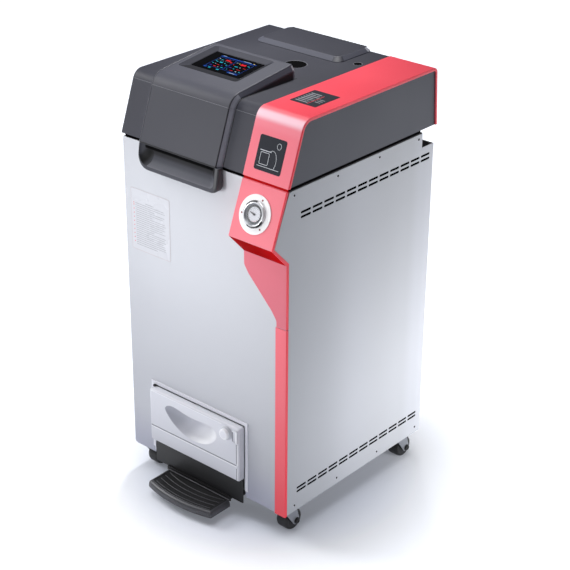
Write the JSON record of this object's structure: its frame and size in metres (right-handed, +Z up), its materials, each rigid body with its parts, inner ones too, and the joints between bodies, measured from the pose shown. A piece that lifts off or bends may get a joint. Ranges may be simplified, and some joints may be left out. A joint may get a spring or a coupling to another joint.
{
  "type": "steam autoclave",
  "caption": "Upright steam autoclave on casters: round pressure chamber under a hinged cover with touch screen and handle, side console with gauge, bottle compartment and foot pedal.",
  "frame": {"origin": "centre of the bounding box in plan, on the floor under the wheels", "axes": "+Z up, -Y to the front with the console and pedal, +X to the right seen from the front"},
  "size_m": [0.495, 0.6031, 1.0402],
  "materials": {
    "light_paint": "satin light grey powder coat",
    "red_paint": "satin coral red powder coat",
    "dark_shell": "satin charcoal moulded plastic",
    "black_steel": "matt black paint",
    "white_trim": "satin white",
    "chrome_trim": "polished",
    "clear_glass": "clear",
    "screen_glass": "gloss black touch panel",
    "label_film": "dark slate film",
    "needle_black": "matt black",
    "liner_plastic": "grey moulded plastic",
    "bottle_plastic": "translucent white blow-moulded plastic",
    "pedal_rubber": "ribbed black rubber",
    "stainless": "brushed stainless steel",
    "jacket_sheet": "foil-faced insulation",
    "silicone": "off-white silicone rubber",
    "brass_fitting": "machined brass",
    "inlet_plastic": "black",
    "hinge_steel": "zinc-plated steel",
    "caster_steel": "grey zinc-plated steel",
    "caster_tyre": "black tread"
  },
  "bodies": {
    "cabinet": {"base_tray": "black_steel", "front_panel": "light_paint", "left_side_panel": "light_paint", "right_side_panel": "light_paint", "rear_panel": "light_paint", "top_deck": "black_steel", "console_panel": "red_paint", "corner_strip": "red_paint", "gauge_plate": "white_trim", "gauge_case": "chrome_trim", "gauge_dial": "white_trim", "gauge_glass": "clear_glass", "front_card": "white_trim", "door_frame": "light_paint", "compartment_liner": "liner_plastic", "drain_bottle": "bottle_plastic", "pedal_skirt": "dark_shell", "pedal_pivot": "black_steel", "caster_plates": "hinge_steel", "chamber_vessel": "stainless", "insulation_jacket": "jacket_sheet", "vessel_stand": "black_steel", "heater_element": "stainless", "support_plate": "stainless", "sterilizing_basket": "stainless", "control_box": "black_steel", "power_inlet": "inlet_plastic", "drain_valve": "brass_fitting", "hinge_brackets": "hinge_steel", "hinge_pin": "hinge_steel", "side_screws": "hinge_steel"},
    "lid": {"lid_cover": "dark_shell", "side_infill": "dark_shell", "red_band": "red_paint", "band_labels": "label_film", "control_pod": "dark_shell", "touch_screen": "screen_glass", "lid_handle": "dark_shell", "rear_vent_cover": "dark_shell", "lid_inner_pan": "stainless", "pressure_lid": "stainless", "lid_gasket": "silicone", "hinge_arms": "hinge_steel", "safety_valve": "brass_fitting"},
    "door": {"compartment_door": "light_paint", "latch_plate": "light_paint"},
    "knob": {"door_knob": "light_paint"},
    "needle": {"gauge_needle": "needle_black"},
    "pedal": {"pedal_tread": "pedal_rubber", "pedal_lever": "black_steel"},
    "rod": {"release_rod": "hinge_steel"},
    "latch": {"latch_hook": "hinge_steel"},
    "fork_fl": {"caster_fork_fl": "caster_steel"},
    "wheel_fl": {"caster_wheel_fl": "caster_tyre"},
    "fork_fr": {"caster_fork_fr": "caster_steel"},
    "wheel_fr": {"caster_wheel_fr": "caster_tyre"},
    "fork_rl": {"caster_fork_rl": "caster_steel"},
    "wheel_rl": {"caster_wheel_rl": "caster_tyre"},
    "fork_rr": {"caster_fork_rr": "caster_steel"},
    "wheel_rr": {"caster_wheel_rr": "caster_tyre"}
  },
  "joints": [
    {"name": "lid_hinge", "type": "hinge", "parent": "cabinet", "child": "lid", "pos_m": [0, 0.2715, 0.844], "axis": [-1, 0, 0], "range_deg": [0, 80]},
    {"name": "pedal_press", "type": "hinge", "parent": "cabinet", "child": "pedal", "pos_m": [0, -0.1035, 0.046], "axis": [1, 0, 0], "range_deg": [0, 4.5], "stiffness_Nm_per_rad": 30, "springref_deg": -11.46},
    {"name": "rod_slide", "type": "slide", "parent": "cabinet", "child": "rod", "axis": [0, 0, -1], "range_m": [0, 0.0053]},
    {"name": "latch_turn", "type": "hinge", "parent": "cabinet", "child": "latch", "pos_m": [-0.148, -0.1885, 0.841], "axis": [-1, 0, 0], "range_deg": [0, 15]},
    {"name": "door_hinge", "type": "hinge", "parent": "cabinet", "child": "door", "pos_m": [-0.162, -0.2205, 0.186], "axis": [0, 0, -1], "range_deg": [0, 90]},
    {"name": "knob_turn", "type": "hinge", "parent": "door", "child": "knob", "pos_m": [0.083, -0.2335, 0.235], "axis": [0, -1, 0], "range_deg": [0, 90]},
    {"name": "needle_turn", "type": "hinge", "parent": "cabinet", "child": "needle", "pos_m": [0.1767, -0.23946, 0.8064], "axis": [0, 0.9333, -0.3591], "range_deg": [-60, 210], "stiffness_Nm_per_rad": 0.01},
    {"name": "caster_swivel_fl", "type": "hinge", "parent": "cabinet", "child": "fork_fl", "pos_m": [-0.21, -0.1835, 0.066], "axis": [0, 0, 1], "continuous": true},
    {"name": "caster_roll_fl", "type": "hinge", "parent": "fork_fl", "child": "wheel_fl", "pos_m": [-0.21, -0.1625, 0.027], "axis": [1, 0, 0], "continuous": true},
    {"name": "caster_swivel_fr", "type": "hinge", "parent": "cabinet", "child": "fork_fr", "pos_m": [0.21, -0.1835, 0.066], "axis": [0, 0, 1], "continuous": true},
    {"name": "caster_roll_fr", "type": "hinge", "parent": "fork_fr", "child": "wheel_fr", "pos_m": [0.21, -0.1625, 0.027], "axis": [1, 0, 0], "continuous": true},
    {"name": "caster_swivel_rl", "type": "hinge", "parent": "cabinet", "child": "fork_rl", "pos_m": [-0.21, 0.2355, 0.066], "axis": [0, 0, 1], "continuous": true},
    {"name": "caster_roll_rl", "type": "hinge", "parent": "fork_rl", "child": "wheel_rl", "pos_m": [-0.21, 0.2565, 0.027], "axis": [1, 0, 0], "continuous": true},
    {"name": "caster_swivel_rr", "type": "hinge", "parent": "cabinet", "child": "fork_rr", "pos_m": [0.21, 0.2355, 0.066], "axis": [0, 0, 1], "continuous": true},
    {"name": "caster_roll_rr", "type": "hinge", "parent": "fork_rr", "child": "wheel_rr", "pos_m": [0.21, 0.2565, 0.027], "axis": [1, 0, 0], "continuous": true}
  ],
  "couplings": [
    {"joint": "rod_slide", "follows": "pedal_press", "m_per_rad": 0.065},
    {"joint": "latch_turn", "follows": "pedal_press", "ratio": 3.25}
  ]
}
